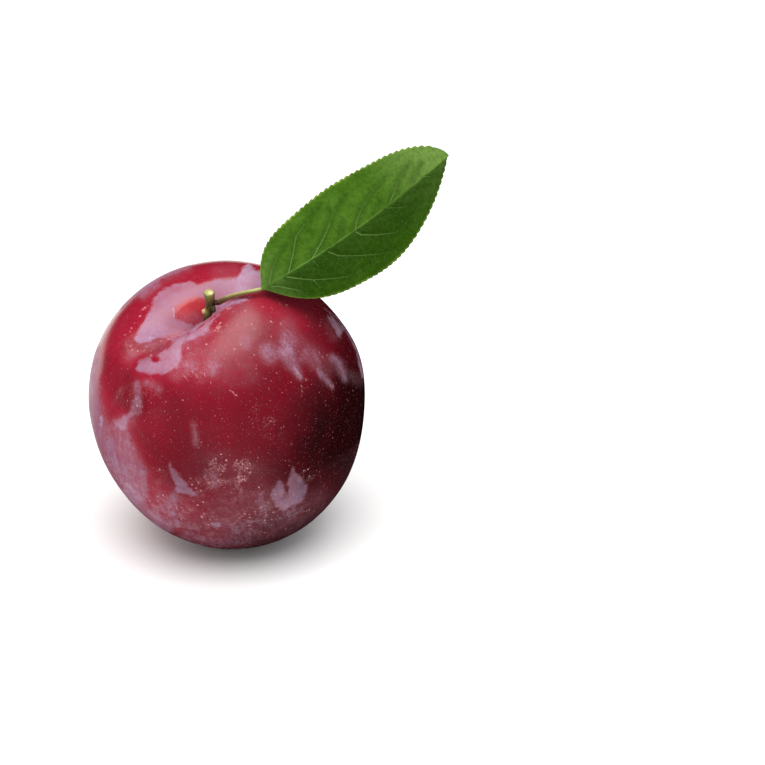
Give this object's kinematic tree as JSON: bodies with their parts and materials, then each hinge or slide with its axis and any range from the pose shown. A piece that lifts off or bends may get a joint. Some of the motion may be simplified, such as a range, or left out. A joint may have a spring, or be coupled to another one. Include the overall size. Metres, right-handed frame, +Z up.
{
  "type": "plum",
  "caption": "Ripe round plum with a short cut stalk in its sunken basin and a serrated green leaf on its own thin stalk, resting on a small flat spot.",
  "frame": {"origin": "middle of the small flat spot that the fruit rests on", "axes": "+Z up; -Y towards the side that the stalk end leans to; +X towards the leaf's side"},
  "size_m": [0.0781, 0.0606, 0.0866],
  "materials": {
    "skin": "satin",
    "bark": "matte",
    "leaf": "satin"
  },
  "bodies": {
    "root": {"fruit": "skin", "stalk": "bark", "leaf": "leaf"}
  },
  "joints": []
}
